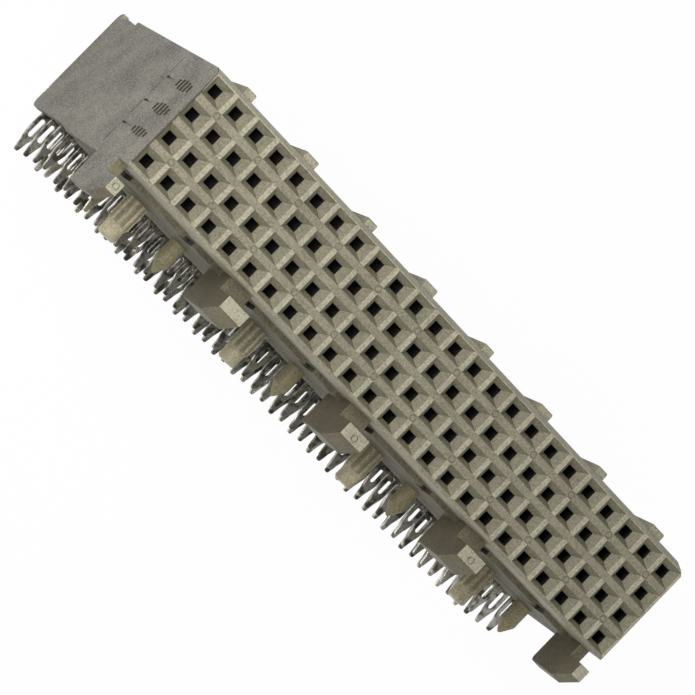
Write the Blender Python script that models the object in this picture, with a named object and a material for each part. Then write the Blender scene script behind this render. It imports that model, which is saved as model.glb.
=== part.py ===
"""Right-angle press-fit socket connector with 96 contacts, 24 columns by 4 rows on a 2 mm grid.

The part lies on its back: the mating face looks up (+Z), the circuit board side looks to -Y,
and X runs along the length. Its origin is the middle of the rear plane that it rests on.
Places along Z are written as a depth below the mating face, and places along Y are counted
from the middle of the contact grid, which is how such a part is drawn. Every mesh is moved
by GRID_Y when it is made, so that the origin is also the middle of the part along Y.
"""

import bpy
import bmesh
import math

# Contact grid
PITCH = 0.0020
COLUMNS = 24
ROWS = 4
MODULE_COLUMNS = 6

# Housing envelope
DEPTH = 0.0194
TOP_MARGIN = 0.0002
SEAT_STEP = 0.0004
REAR_RISE = 0.00025
TOP_CHAMFER_DEPTH = 0.0006
TOP_CHAMFER_DROP = 0.00035
END_CHAMFER = 0.0006
CORNER_RADIUS = 0.0005
CORNER_STEPS = 3
SEAT_START = 0.0032
SEAT_BEHIND_BAY = 0.0015
SEAT_RAMP = 0.0015
TOP_WALL = 0.0006
TOP_WALL_SETBACK = 0.0003
NOTCH_LENGTH = 0.0028
NOTCH_RISE = 0.0001
NOTCH_DROP = 0.0002
END_PLATE = 0.00045
BAY_AHEAD_OF_TAILS = 0.0022

# Sockets
LEAD_IN_X = 0.00083
LEAD_IN_Y = 0.00075
LEAD_IN_DEPTH = 0.0006
MOUTH_OVERSHOOT = 0.0001
THROAT = 0.00037
CAVITY = 0.00050
CAVITY_START = 0.0010

# Feet that hook over the edge of the circuit board. A drop is measured down from the seat.
FOOT_WIDTH = 0.0020
END_FOOT_WIDTH = 0.0009
FOOT_BACK = 0.0054
FOOT_DROP = 0.00242
FOOT_TOE_DROP = 0.0016
FOOT_TOE_RUN = 0.00205
FOOT_HEEL = 0.0002
HOOK_TOP_DROP = 0.00065
HOOK_DEPTH = 0.0019

# Round posts and pointed pegs, one of each in every module of six columns
PEGS_AHEAD_OF_BAY = 0.0009
POST_DIAMETER = 0.00165
POST_DROP = 0.00305
POST_OFFSET = 0.0060
PEG_DIAMETER = 0.00125
PEG_TIP_DIAMETER = 0.00025
PEG_SHOULDER_DROP = 0.0016
PEG_TIP_DROP = 0.00245
PEG_OFFSET = 0.0100
ROUND_SIDES = 12

# Wedge ribs on the top, and relief slots in the seat, two of each in a module
RIB_START = 0.00105
RIB_END = 0.0103
RIB_HEIGHT = 0.0006
RIB_NOSE = 0.00015
RIB_WIDTHS = (0.00085, 0.00115)
RIB_OFFSETS = (0.0030, 0.0090)
SLOT_OFFSETS = (0.0018, 0.0078)
SLOT_WIDTH = 0.0008
SLOT_RUN = 0.0012
SLOT_LIP = 0.0001

# Contacts: a folded strip with two spring arms in front and a press-fit tail
STRIP_WIDTH = 0.0005
STRIP_THICKNESS = 0.00025
STRIP_BEND = 0.00025
LAST_TAIL_INSET = 0.0011
ARM_TIP = 0.0022
ARM_ROOT = 0.0078
ARM_SLIT = 0.0002
EYE_START_DROP = -0.0002
EYE_TOP_DROP = 0.00005
EYE_BOTTOM_DROP = 0.00145
NECK_DROP = 0.0019
TAIL_TIP_DROP = 0.00265
EYE_WIDTH = 0.00086
EYE_SLOT = 0.0003
NECK_WIDTH = 0.00038
TIP_WIDTH = 0.00024

# Tail organiser, the comb that closes the board side behind the housing
GAP = 0.00025
ORGANISER_THICKNESS = 0.0008
FUSED_ROWS = 2

# Worked out from the sizes above
LENGTH = COLUMNS * PITCH
HALF = LENGTH / 2
MODULE = MODULE_COLUMNS * PITCH
MODULES = COLUMNS // MODULE_COLUMNS
TOP_Y = ROWS * PITCH / 2 + TOP_MARGIN
LIP_Y = -ROWS * PITCH / 2
SEAT_Y = LIP_Y - SEAT_STEP
REAR_BOTTOM_Y = SEAT_Y + REAR_RISE
FIRST_TAIL = DEPTH - LAST_TAIL_INSET - PITCH * (ROWS - 1)
TAIL_DEPTHS = [FIRST_TAIL + PITCH * row for row in range(ROWS)]
BAY_START = FIRST_TAIL - BAY_AHEAD_OF_TAILS
PEG_LINE = BAY_START - PEGS_AHEAD_OF_BAY
SEAT_END = BAY_START + SEAT_BEHIND_BAY
NOTCH_END = DEPTH - CORNER_RADIUS - NOTCH_RISE
NOTCH_START = NOTCH_END - NOTCH_LENGTH
TOP_WALL_END = NOTCH_START - TOP_WALL_SETBACK
GRID_Y = -(SEAT_Y - POST_DROP + TOP_Y + RIB_HEIGHT) / 2
SINK = 0.0002
OVERSHOOT = 0.0010


def clear_scene():
    """Start from an empty scene."""
    for item in list(bpy.data.objects):
        bpy.data.objects.remove(item, do_unlink=True)


def level(depth):
    """Height above the rear plane of a place that lies depth below the mating face."""
    return DEPTH - depth


def column_x(column):
    """Middle of a column, counted from 0 at the -X end."""
    return (column - (COLUMNS - 1) / 2) * PITCH


def row_y(row):
    """Middle of a row, counted from 0 next to the circuit board."""
    return (row - (ROWS - 1) / 2) * PITCH


def material(name, colour, roughness, metallic=0.0):
    """A plain Principled material."""
    made = bpy.data.materials.new(name)
    made.use_nodes = True
    shader = made.node_tree.nodes["Principled BSDF"]
    shader.inputs["Base Color"].default_value = (*colour, 1.0)
    shader.inputs["Roughness"].default_value = roughness
    shader.inputs["Metallic"].default_value = metallic
    return made


def object_from(name, bm, finish=None):
    """Turn a bmesh into a named object in the scene."""
    bmesh.ops.recalc_face_normals(bm, faces=bm.faces)
    bmesh.ops.translate(bm, verts=bm.verts, vec=(0.0, GRID_Y, 0.0))
    mesh = bpy.data.meshes.new(name)
    bm.to_mesh(mesh)
    bm.free()
    made = bpy.data.objects.new(name, mesh)
    bpy.context.scene.collection.objects.link(made)
    if finish:
        mesh.materials.append(finish)
    return made


def add_prism(bm, outline, x0, x1):
    """Extrude an outline of (y, depth) points along X."""
    near = [bm.verts.new((x0, y, level(depth))) for y, depth in outline]
    far = [bm.verts.new((x1, y, level(depth))) for y, depth in outline]
    bm.faces.new(near)
    bm.faces.new(list(reversed(far)))
    count = len(outline)
    for i in range(count):
        j = (i + 1) % count
        bm.faces.new((near[j], near[i], far[i], far[j]))


def add_box(bm, x0, x1, y0, y1, depth0, depth1):
    """A box between two values of X, of Y and of depth."""
    add_prism(bm, [(y0, depth0), (y1, depth0), (y1, depth1), (y0, depth1)], x0, x1)


def add_rings(bm, rings):
    """Join rings of equally many points into a closed body with flat ends."""
    loops = [[bm.verts.new(point) for point in ring] for ring in rings]
    bm.faces.new(loops[0])
    bm.faces.new(list(reversed(loops[-1])))
    count = len(loops[0])
    for first, second in zip(loops, loops[1:]):
        for i in range(count):
            j = (i + 1) % count
            bm.faces.new((first[j], first[i], second[i], second[j]))


def corner_arc(centre_y, centre_depth, start, end):
    """Points of a rounded corner, from one angle to another in degrees."""
    points = []
    for step in range(CORNER_STEPS + 1):
        angle = math.radians(start + (end - start) * step / CORNER_STEPS)
        y = centre_y + CORNER_RADIUS * math.sin(angle)
        depth = centre_depth + CORNER_RADIUS * math.cos(angle)
        points.append((y, depth))
    return points


def housing_outline():
    """Side view of the housing, as the end plates show it."""
    notch_y = TOP_Y - NOTCH_DROP
    outline = [(LIP_Y, 0.0), (TOP_Y - TOP_CHAMFER_DROP, 0.0), (TOP_Y, TOP_CHAMFER_DEPTH)]
    outline += [(TOP_Y, NOTCH_START), (notch_y, NOTCH_START), (notch_y, NOTCH_END)]
    outline += corner_arc(TOP_Y - CORNER_RADIUS, DEPTH - CORNER_RADIUS, 90, 0)
    outline += corner_arc(REAR_BOTTOM_Y + CORNER_RADIUS, DEPTH - CORNER_RADIUS, 0, -90)
    outline += [(REAR_BOTTOM_Y, SEAT_END + SEAT_RAMP), (SEAT_Y, SEAT_END)]
    outline += [(SEAT_Y, SEAT_START), (LIP_Y, SEAT_START)]
    return outline


def foot_outline():
    """Side view of a foot: a heel behind the board edge and a hook in front."""
    inside = LIP_Y + SINK
    hook_top = SEAT_Y - HOOK_TOP_DROP
    bottom = SEAT_Y - FOOT_DROP
    outline = [(inside, HOOK_DEPTH), (hook_top, HOOK_DEPTH), (hook_top, 0.0)]
    outline += [(SEAT_Y - FOOT_TOE_DROP, 0.0), (bottom, FOOT_TOE_RUN)]
    outline += [(bottom, FOOT_BACK - FOOT_HEEL), (bottom + FOOT_HEEL, FOOT_BACK)]
    outline += [(inside, FOOT_BACK)]
    return outline


def rib_outline():
    """Side view of a top rib, which slopes down to nothing at its rear end."""
    inside = TOP_Y - SINK
    crest = TOP_Y + RIB_HEIGHT
    fall = (RIB_HEIGHT + SINK) / (RIB_END - RIB_START)
    crest_depth = RIB_START + RIB_NOSE
    return [(inside, RIB_START), (crest - RIB_NOSE, RIB_START), (crest, crest_depth),
            (inside, crest_depth + (crest - inside) / fall)]


def round_ring(x, y, depth, radius):
    """A ring of points about an axis that runs along Y."""
    ring = []
    for side in range(ROUND_SIDES):
        angle = 2 * math.pi * (side + 0.5) / ROUND_SIDES
        ring.append((x + radius * math.cos(angle), y, level(depth) + radius * math.sin(angle)))
    return ring


def socket_ring(x, y, depth, half_x, half_y):
    """The four corners of one socket at one depth."""
    z = level(depth)
    return [(x - half_x, y - half_y, z), (x + half_x, y - half_y, z),
            (x + half_x, y + half_y, z), (x - half_x, y + half_y, z)]


def cutter(name, bm):
    """A body that only cuts, so it stays out of the finished part."""
    made = object_from(name, bm)
    made.hide_render = True
    made.display_type = "WIRE"
    return made


def boolean(target, tool, operation):
    """Cut or join with Blender's exact solver and keep the result in the mesh."""
    modifier = target.modifiers.new(operation.lower(), "BOOLEAN")
    modifier.operation = operation
    modifier.solver = "EXACT"
    modifier.object = tool
    bpy.context.view_layer.objects.active = target
    with bpy.context.temp_override(object=target, active_object=target):
        bpy.ops.object.modifier_apply(modifier=modifier.name)
    bpy.data.objects.remove(tool, do_unlink=True)


def socket_cutter():
    """One body for each socket: lead-in, throat and the cavity behind it."""
    bm = bmesh.new()
    reach = MOUTH_OVERSHOOT / LEAD_IN_DEPTH
    wide_x = LEAD_IN_X + (LEAD_IN_X - THROAT) * reach
    wide_y = LEAD_IN_Y + (LEAD_IN_Y - THROAT) * reach
    for column in range(COLUMNS):
        for row in range(ROWS):
            x = column_x(column)
            y = row_y(row)
            add_rings(bm, [
                socket_ring(x, y, -MOUTH_OVERSHOOT, wide_x, wide_y),
                socket_ring(x, y, LEAD_IN_DEPTH, THROAT, THROAT),
                socket_ring(x, y, CAVITY_START, CAVITY, CAVITY),
                socket_ring(x, y, BAY_START + SINK, CAVITY, CAVITY)])
    return cutter("socket_cutter", bm)


def bay_cutter():
    """The space between the end plates, under and behind the top wall."""
    bm = bmesh.new()
    below = SEAT_Y - OVERSHOOT
    above = TOP_Y + OVERSHOOT
    ceiling = TOP_Y - TOP_WALL
    end = DEPTH + OVERSHOOT
    outline = [(below, BAY_START), (ceiling, BAY_START), (ceiling, TOP_WALL_END)]
    outline += [(above, TOP_WALL_END), (above, end), (below, end)]
    add_prism(bm, outline, -HALF + END_PLATE, HALF - END_PLATE)
    return cutter("bay_cutter", bm)


def relief_cutter():
    """Relief slots in the front edge of the seat, and the bevelled top corner of the +X end."""
    bm = bmesh.new()
    for module in range(MODULES):
        for offset in SLOT_OFFSETS:
            x = -HALF + module * MODULE + offset
            add_box(bm, x - SLOT_WIDTH / 2, x + SLOT_WIDTH / 2, SEAT_Y - OVERSHOOT, LIP_Y - SLOT_LIP,
                    SEAT_START - OVERSHOOT, SEAT_START + SLOT_RUN)
    z0 = level(-OVERSHOOT)
    z1 = level(DEPTH + OVERSHOOT)
    reach = END_CHAMFER + OVERSHOOT
    corner = [(HALF - END_CHAMFER - OVERSHOOT, TOP_Y + OVERSHOOT),
              (HALF + OVERSHOOT, TOP_Y - reach), (HALF + OVERSHOOT, TOP_Y + OVERSHOOT)]
    add_rings(bm, [[(x, y, z0) for x, y in corner], [(x, y, z1) for x, y in corner]])
    return cutter("relief_cutter", bm)


def foot_spans():
    """Where the feet are along X: one between modules and a narrow one at each end."""
    spans = [(-HALF, -HALF + END_FOOT_WIDTH)]
    for module in range(1, MODULES):
        x = -HALF + module * MODULE
        spans.append((x - FOOT_WIDTH / 2, x + FOOT_WIDTH / 2))
    spans.append((HALF - END_FOOT_WIDTH, HALF))
    return spans


def housing_fittings():
    """Feet, posts, pegs and ribs, each a body of its own that the housing is joined to."""
    bm = bmesh.new()
    for x0, x1 in foot_spans():
        add_prism(bm, foot_outline(), x0, x1)
    root = SEAT_Y + SINK
    for module in range(MODULES):
        start = -HALF + module * MODULE
        post = start + POST_OFFSET
        radius = POST_DIAMETER / 2
        add_rings(bm, [round_ring(post, root, PEG_LINE, radius),
                       round_ring(post, SEAT_Y - POST_DROP, PEG_LINE, radius)])
        peg = start + PEG_OFFSET
        radius = PEG_DIAMETER / 2
        add_rings(bm, [
            round_ring(peg, root, PEG_LINE, radius),
            round_ring(peg, SEAT_Y - PEG_SHOULDER_DROP, PEG_LINE, radius),
            round_ring(peg, SEAT_Y - PEG_TIP_DROP, PEG_LINE, PEG_TIP_DIAMETER / 2)])
        for offset, width in zip(RIB_OFFSETS, RIB_WIDTHS):
            rib = start + offset
            add_prism(bm, rib_outline(), rib - width / 2, rib + width / 2)
    return cutter("housing_fittings", bm)


def build_housing(finish):
    """The moulded housing, one piece with its feet, posts, pegs and ribs."""
    bm = bmesh.new()
    add_prism(bm, housing_outline(), -HALF, HALF)
    housing = object_from("receptacle_housing", bm, finish)
    boolean(housing, bay_cutter(), "DIFFERENCE")
    boolean(housing, relief_cutter(), "DIFFERENCE")
    boolean(housing, housing_fittings(), "UNION")
    boolean(housing, socket_cutter(), "DIFFERENCE")
    return housing


def add_contact(bm, column, row):
    """One contact: spring arms, a run to the rear, a fold and a press-fit tail."""
    x = column_x(column)
    y = row_y(row)
    half = STRIP_WIDTH / 2
    slit = ARM_SLIT / 2
    top = y + STRIP_THICKNESS / 2
    under = y - STRIP_THICKNESS / 2
    behind = level(TAIL_DEPTHS[row]) - STRIP_THICKNESS / 2
    ahead = level(TAIL_DEPTHS[row]) + STRIP_THICKNESS / 2
    tip = level(ARM_TIP)
    root = level(ARM_ROOT)

    def flat_run(height, end):
        """The run with its slit between the arms, at one face of the strip."""
        plan = [(-half, end), (-half, tip), (-slit, tip), (-slit, root),
                (slit, root), (slit, tip), (half, tip), (half, end)]
        return [bm.verts.new((x + px, height, pz)) for px, pz in plan]

    upper = flat_run(top, behind + STRIP_BEND)
    lower = flat_run(under, ahead)
    bm.faces.new(upper)
    bm.faces.new(list(reversed(lower)))
    for i in range(len(upper) - 1):
        bm.faces.new((upper[i + 1], upper[i], lower[i], lower[i + 1]))

    eye_top = SEAT_Y - EYE_TOP_DROP
    eye_bottom = SEAT_Y - EYE_BOTTOM_DROP
    profile = [(SEAT_Y - EYE_START_DROP, half), (eye_top, EYE_WIDTH / 2),
               (eye_bottom, EYE_WIDTH / 2), (SEAT_Y - NECK_DROP, NECK_WIDTH / 2),
               (SEAT_Y - TAIL_TIP_DROP, TIP_WIDTH / 2)]

    def tail_face(z, first):
        """The tail outline with the eye, at one face of the strip."""
        left = [first[0]] + [bm.verts.new((x - width, height, z)) for height, width in profile]
        right = [first[1]] + [bm.verts.new((x + width, height, z)) for height, width in profile]
        eye = [bm.verts.new((x + side * EYE_SLOT / 2, height, z))
               for height in (eye_top, eye_bottom) for side in (-1, 1)]
        return left, right, eye

    fold = [bm.verts.new((x + side * half, top - STRIP_BEND, behind)) for side in (-1, 1)]
    rear = tail_face(behind, fold)
    front = tail_face(ahead, (lower[0], lower[-1]))
    for left, right, eye in (rear, front):
        bm.faces.new((left[0], right[0], right[1], left[1]))
        bm.faces.new((left[1], right[1], right[2], eye[1], eye[0], left[2]))
        bm.faces.new((left[2], eye[0], eye[2], left[3]))
        bm.faces.new((eye[1], right[2], right[3], eye[3]))
        bm.faces.new((left[3], eye[2], eye[3], right[3], right[4], left[4]))
        bm.faces.new((left[4], right[4], right[5], left[5]))
    for side in (0, 1):
        for i in range(len(rear[side]) - 1):
            bm.faces.new((rear[side][i], rear[side][i + 1], front[side][i + 1], front[side][i]))
    bm.faces.new((rear[0][-1], rear[1][-1], front[1][-1], front[0][-1]))
    for i, j in ((0, 1), (1, 3), (3, 2), (2, 0)):
        bm.faces.new((rear[2][i], rear[2][j], front[2][j], front[2][i]))
    bm.faces.new((upper[0], upper[-1], fold[1], fold[0]))
    bm.faces.new((upper[0], fold[0], lower[0]))
    bm.faces.new((upper[-1], lower[-1], fold[1]))


def build_contact(column, row, finish):
    """A contact that is a piece of its own."""
    bm = bmesh.new()
    add_contact(bm, column, row)
    letter = "abcd"[row]
    return object_from(f"contact_{letter}{column + 1:02d}", bm, finish)


def build_organiser(finish):
    """The comb that spaces the tails, with the two contact rows nearest the board fixed in it."""
    half_x = HALF - END_PLATE - GAP
    front = BAY_START + GAP
    back = DEPTH - GAP
    tooth_start = TAIL_DEPTHS[FUSED_ROWS] - STRIP_THICKNESS / 2 - GAP
    slot_half = STRIP_WIDTH / 2 + GAP
    top = REAR_BOTTOM_Y + ORGANISER_THICKNESS
    bm = bmesh.new()
    add_box(bm, -half_x, half_x, REAR_BOTTOM_Y, top, front, back)
    organiser = object_from("tail_organiser", bm, finish)
    bm = bmesh.new()
    for column in range(COLUMNS):
        x = column_x(column)
        add_box(bm, x - slot_half, x + slot_half, REAR_BOTTOM_Y - OVERSHOOT, top + OVERSHOOT,
                tooth_start, back + OVERSHOOT)
    boolean(organiser, cutter("comb_cutter", bm), "DIFFERENCE")
    bm = bmesh.new()
    for column in range(COLUMNS):
        for row in range(FUSED_ROWS):
            add_contact(bm, column, row)
    boolean(organiser, cutter("fixed_contacts", bm), "UNION")
    return organiser


def main():
    clear_scene()
    plastic = material("housing_plastic", (0.30, 0.28, 0.22), 0.6)
    comb = material("organiser_plastic", (0.12, 0.12, 0.11), 0.6)
    metal = material("contact_metal", (0.30, 0.30, 0.29), 0.35, 1.0)
    build_housing(plastic)
    build_organiser(comb)
    for row in range(FUSED_ROWS, ROWS):
        for column in range(COLUMNS):
            build_contact(column, row, metal)


main()
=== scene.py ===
# %% [markdown]
# # A right-angle press-fit connector
#
# This lesson dresses the CAD model of a board connector. The real part is one long moulding with
# 96 square sockets in its mating face, hooked feet under it, round posts and pointed pegs that go
# into the circuit board, and four rows of stamped metal tails. The CAD model fixes every size.
# Here each piece is modelled again with its rounded edges and small marks, and each one gets a
# finish made of nodes.

# %% Load the frame
import bpy
import bmesh
import math
from mathutils import Matrix, Vector


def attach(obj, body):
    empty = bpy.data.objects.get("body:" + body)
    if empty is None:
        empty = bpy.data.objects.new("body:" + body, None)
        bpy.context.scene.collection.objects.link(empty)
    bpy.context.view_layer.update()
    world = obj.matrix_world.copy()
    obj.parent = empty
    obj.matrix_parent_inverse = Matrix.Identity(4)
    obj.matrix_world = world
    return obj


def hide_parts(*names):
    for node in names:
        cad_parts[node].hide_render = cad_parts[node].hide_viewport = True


MM = 0.001


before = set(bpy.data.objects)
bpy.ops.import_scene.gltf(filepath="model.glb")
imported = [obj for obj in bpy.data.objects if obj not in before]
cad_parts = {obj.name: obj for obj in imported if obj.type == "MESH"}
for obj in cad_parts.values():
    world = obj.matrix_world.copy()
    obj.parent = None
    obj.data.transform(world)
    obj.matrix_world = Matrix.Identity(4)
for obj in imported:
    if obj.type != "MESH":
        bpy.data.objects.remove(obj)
bpy.context.view_layer.update()

# %% [markdown]
# ## Places on the part
#
# A connector is drawn from its mating face and from the middle of its contact grid, so places are
# given here as x along the length, y above the middle of the grid and depth behind the mating
# face, all in millimetres. One function turns such a place into Blender's metres, and another
# turns it back. The part lies on its back, so depth runs down from the highest plane.
#
# Three more lengths come back all the time. A cutter reaches beyond the surface that it cuts, a
# body that is joined on sinks a little into the housing, and a test of a place takes what is near.

# %% Sizes and places
GRID_Y = 1.325
DEPTH = 19.4
HALF = 24.0
MODULE = 12.0
PITCH = 2.0
COLUMNS = 24
ROWS = 4
COLUMN_X = [PITCH * (column - (COLUMNS - 1) / 2) for column in range(COLUMNS)]
ROW_Y = [PITCH * (row - (ROWS - 1) / 2) for row in range(ROWS)]
MODULE_X = [-HALF + MODULE * module for module in range(4)]
TAIL_DEPTHS = [12.3, 14.3, 16.3, 18.3]
TOP = 4.2
LIP = -4.0
SEAT = -4.4
BEYOND = 1.0
SINK = 0.2
NEAR = 0.1


def at(x, y, depth):
    """A place on the part in metres."""
    return Vector((x, y + GRID_Y, DEPTH - depth)) * MM


def on_part(co):
    """A point in metres as x, y and depth in millimetres on the part."""
    return Vector((co.x / MM, co.y / MM - GRID_Y, DEPTH - co.z / MM))


print("columns:", COLUMNS, "rows:", ROWS, "first socket at", at(COLUMN_X[0], ROW_Y[0], 0))

# %% [markdown]
# ## Working as by hand
#
# Blender's operators act on what is selected. The frame arrives selected, so every step starts by
# letting go of everything. Faces and edges are then picked by their place or by the way that they
# face, which is what a person does with the mouse. A face counts as facing along an axis when the
# part of its normal along that axis is more than 0.9.


# %% Helpers for selecting and adding objects
def deselect():
    """Let go of every object."""
    bpy.ops.object.select_all(action="DESELECT")


def take(piece):
    """Select one object alone and make it the active one."""
    deselect()
    piece.select_set(True)
    bpy.context.view_layer.objects.active = piece


def settle():
    """Move the selected object's place, turn and scale into its mesh."""
    bpy.ops.object.transform_apply(location=True, rotation=True, scale=True)


def add_box(name, x0, x1, y0, y1, depth0, depth1):
    """A box between two places, as the blank that a piece is shaped from."""
    deselect()
    low = at(x0, y0, depth1)
    high = at(x1, y1, depth0)
    bpy.ops.mesh.primitive_cube_add(size=1.0, location=(low + high) / 2, scale=high - low)
    piece = bpy.context.object
    piece.name = name
    settle()
    return piece


# %% Helpers for finishing and joining objects
def apply_modifier(piece, kind, **settings):
    """Add a modifier, set it and make it part of the mesh."""
    take(piece)
    modifier = piece.modifiers.new(kind.lower(), kind)
    for name, value in settings.items():
        setattr(modifier, name, value)
    bpy.ops.object.modifier_apply(modifier=modifier.name)


def round_edges(piece, width, segments=2, angle=26.0):
    """Round every edge that turns more than an angle, by a width in millimetres."""
    apply_modifier(piece, "BEVEL", width=width * MM, segments=segments, limit_method="ANGLE",
                   angle_limit=math.radians(angle), use_clamp_overlap=True)


def smooth(piece, angle):
    """Shade a piece smooth, apart from edges that turn more than an angle."""
    take(piece)
    bpy.ops.object.shade_smooth_by_angle(angle=math.radians(angle))


def combine(piece, tool, operation):
    """Join a tool to a piece or cut it out, with the exact solver, and drop the tool."""
    apply_modifier(piece, "BOOLEAN", object=tool, operation=operation, solver="EXACT")
    bpy.data.objects.remove(tool, do_unlink=True)


def join(name, parts):
    """Make one object of several that don't touch."""
    deselect()
    for part in parts:
        part.select_set(True)
    bpy.context.view_layer.objects.active = parts[0]
    bpy.ops.object.join()
    parts[0].name = name
    return parts[0]


# %% Helpers for picking in edit mode
FACING = 0.9


def edit(piece):
    """Open one object in edit mode with everything selected."""
    take(piece)
    bpy.ops.object.mode_set(mode="EDIT")
    bpy.ops.mesh.select_all(action="SELECT")


def done():
    """Back to object mode."""
    bpy.ops.object.mode_set(mode="OBJECT")


def pick(piece, mode, facts, test):
    """Select the corners, edges or faces whose facts pass a test."""
    bpy.ops.mesh.select_mode(type=mode)
    bpy.ops.mesh.select_all(action="DESELECT")
    bm = bmesh.from_edit_mesh(piece.data)
    for item in {"VERT": bm.verts, "EDGE": bm.edges, "FACE": bm.faces}[mode]:
        if test(*facts(item)):
            item.select_set(True)
    bmesh.update_edit_mesh(piece.data)


def pick_corners(piece, test):
    """Select the corners whose place on the part passes a test."""
    pick(piece, "VERT", lambda corner: [on_part(corner.co)], test)


def pick_edges(piece, test):
    """Select the edges whose two ends pass a test."""
    pick(piece, "EDGE", lambda edge: [on_part(end.co) for end in edge.verts], test)


def pick_faces(piece, test):
    """Select the faces whose centre and normal pass a test."""
    pick(piece, "FACE", lambda face: (on_part(face.calc_center_median()), face.normal), test)


# %% Helpers for shaping in edit mode
def slide(y=0.0, depth=0.0):
    """Move what is selected, in millimetres."""
    bpy.ops.transform.translate(value=(0.0, y * MM, -depth * MM))


def push(y=0.0, depth=0.0):
    """Extrude what is selected, in millimetres."""
    move = {"value": (0.0, y * MM, -depth * MM)}
    bpy.ops.mesh.extrude_region_move(TRANSFORM_OT_translate=move)


def slice_at(place, normal, clear=False):
    """Cut the whole mesh along a plane, and where asked throw away the outer side."""
    bpy.ops.mesh.select_all(action="SELECT")
    bpy.ops.mesh.bisect(plane_co=place, plane_no=normal, use_fill=clear, clear_outer=clear)


def dissolve_flat():
    """Take away the edges that lie in flat faces."""
    bpy.ops.mesh.select_all(action="SELECT")
    bpy.ops.mesh.dissolve_limited(angle_limit=math.radians(0.5))


def face_outwards():
    """Turn every face outwards."""
    bpy.ops.mesh.select_all(action="SELECT")
    bpy.ops.mesh.normals_make_consistent(inside=False)


# %% [markdown]
# ## The block
#
# The housing starts as one box. It gets a step where the seat for the board begins, a chamfer
# along the top of the mating face, rounded rear corners and one bevelled end. Slicing the box
# first gives the edges that these shapes need, and limited dissolve then takes away the slices
# that ended up flat. The small round on all edges is what catches the light on a real moulding.

# %% Shape the block
CHAMFER_DEPTH = 0.6
CHAMFER_DROP = 0.35
SEAT_START = 3.2
RAMP_START = 11.6
RAMP_END = 13.1
RAMP_RISE = 0.25
END_CHAMFER = 0.6
REAR_ROUND = 0.5
EDGE_ROUND = 0.07

housing = add_box("housing", -HALF, HALF, LIP, TOP, 0.0, DEPTH)
edit(housing)
for cut_depth in (CHAMFER_DEPTH, SEAT_START, RAMP_START, RAMP_END):
    slice_at(at(0, 0, cut_depth), (0, 0, 1))
pick_edges(housing, lambda a, b: max(a.z, b.z) < NEAR and min(a.y, b.y) > TOP - NEAR)
slide(y=-CHAMFER_DROP)
pick_faces(housing, lambda centre, normal: normal.y < -FACING and centre.z > SEAT_START)
push(y=SEAT - LIP)
pick_edges(housing, lambda a, b: max(a.y, b.y) < SEAT + NEAR and min(a.z, b.z) > RAMP_END - NEAR)
slide(y=RAMP_RISE)
slice_at(at(HALF - END_CHAMFER, TOP, SEAT_START), (1, 1, 0), clear=True)
dissolve_flat()
pick_edges(housing, lambda a, b: min(a.z, b.z) > DEPTH - NEAR and abs(a.y - b.y) < NEAR
           and abs(a.x - b.x) > HALF)
bpy.ops.mesh.bevel(offset=REAR_ROUND * MM, segments=5, profile=0.5, affect="EDGES")
done()
round_edges(housing, EDGE_ROUND)
print("block:", len(housing.data.polygons), "faces")

# %% [markdown]
# ## The open bay at the rear
#
# Behind the sockets the real housing is open below and behind, where the contacts turn down
# towards the board. Two thin end plates and a top wall close the other sides. One stepped cutter
# makes the room. A flat one lowers the top of the end plates behind the wall, and its floor is
# tilted so that it rises to the rear and falls away at both ends.

# %% Cut the bay
INSIDE = 23.55
CEILING = 3.6
BAY_START = 10.1
WALL_END = 15.7

bay = add_box("bay", -INSIDE, INSIDE, SEAT - BEYOND, CEILING, BAY_START, DEPTH + BEYOND)
edit(bay)
slice_at(at(0, 0, WALL_END), (0, 0, 1))
pick_faces(bay, lambda centre, normal: normal.y > FACING and centre.z > WALL_END)
push(y=TOP + BEYOND - CEILING)
done()
combine(housing, bay, "DIFFERENCE")
print("housing with its bay:", len(housing.data.polygons), "faces")

# %% Cut the notch
NOTCH_FLOOR = 4.0
NOTCH_START = 16.0
NOTCH_END = 18.8
NOTCH_FLAT = 23.3


def tilt_floor(at_rear, past_x, rise):
    """Move the corners of the notch's floor at its rear or front that lie past a place in x."""
    pick_corners(notch, lambda place: place.y < NOTCH_FLOOR + 0.3 and abs(place.x) > past_x
                 and (place.z > (NOTCH_START + NOTCH_END) / 2) == at_rear)
    slide(y=rise)


notch = add_box("notch", -HALF - BEYOND, HALF + BEYOND, NOTCH_FLOOR, TOP + BEYOND,
                NOTCH_START, NOTCH_END)
edit(notch)
for side in (-1, 1):
    slice_at(at(side * NOTCH_FLAT, NOTCH_FLOOR, NOTCH_START), (1, 0, 0))
tilt_floor(True, 0.0, 0.16)
tilt_floor(True, HALF, -1.05)
tilt_floor(False, HALF, -0.24)
done()
combine(housing, notch, "DIFFERENCE")
print("housing with its notch:", len(housing.data.polygons), "faces")

# %% [markdown]
# ## Feet
#
# A foot hooks over the edge of the board at each joint between two modules, and a narrow one does
# so at each end. A foot is a block behind the board's edge with a hook in front, so the block is
# modelled first, its front is sliced, and the lower part is drawn forward to the mating face. Two
# slanted cuts then give it a toe and a small heel.

# %% Model the feet
FOOT_BOTTOM = -6.82
FOOT_BACK = 5.4
HOOK_TOP = -5.05
HOOK_DEPTH = 1.9
TOE_Y = -6.0
HEEL = 0.2
FOOT_HALF = 1.0
END_FOOT = 0.9


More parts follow.
